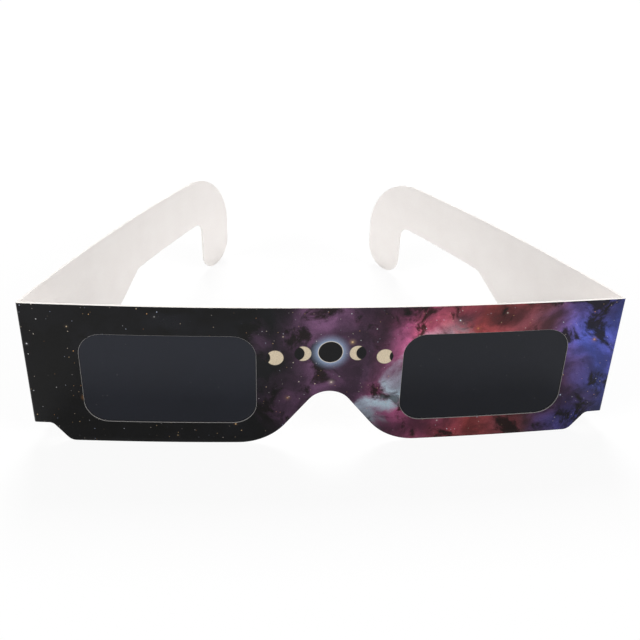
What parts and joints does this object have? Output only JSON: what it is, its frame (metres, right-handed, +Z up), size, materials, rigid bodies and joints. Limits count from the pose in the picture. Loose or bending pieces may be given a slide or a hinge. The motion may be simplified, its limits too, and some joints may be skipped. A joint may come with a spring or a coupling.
{
  "type": "eclipse glasses",
  "caption": "Folding card eclipse glasses: a bowed two-ply front with dark solar filter films in rounded windows, a nose notch, and two creased temples with ear hooks.",
  "frame": {"origin": "bottom centre of the bounding box, on the table that the glasses stand on", "axes": "+X to the wearer's left, along the front panel; -Y the way the wearer and the printed face look; +Z up"},
  "size_m": [0.146, 0.097, 0.0394],
  "materials": {
    "printed_board": "satin coated print",
    "white_board": "matt coated white",
    "laminating_glue": "dried laminating glue",
    "filter_film": "smooth black polymer film"
  },
  "bodies": {
    "front": {"front_outer_card": "printed_board", "front_inner_card": "white_board", "front_glue_layer": "laminating_glue", "right_filter_film": "filter_film", "left_filter_film": "filter_film", "right_crease": "printed_board", "left_crease": "printed_board"},
    "right_temple": {"right_temple_outer_card": "printed_board", "right_temple_glue_layer": "laminating_glue", "right_temple_inner_card": "white_board"},
    "left_temple": {"left_temple_outer_card": "printed_board", "left_temple_glue_layer": "laminating_glue", "left_temple_inner_card": "white_board"}
  },
  "joints": [
    {"name": "right_temple_fold", "type": "hinge", "parent": "front", "child": "right_temple", "pos_m": [-0.07238, -0.04415, 0.00525], "axis": [0, -0.0719, -0.9974], "range_deg": [-102.45, 63.1], "deforming": ["right_crease"]},
    {"name": "left_temple_fold", "type": "hinge", "parent": "front", "child": "left_temple", "pos_m": [0.07238, -0.04415, 0.00525], "axis": [0, 0.0719, 0.9974], "range_deg": [-106.95, 56.4], "deforming": ["left_crease"]}
  ]
}
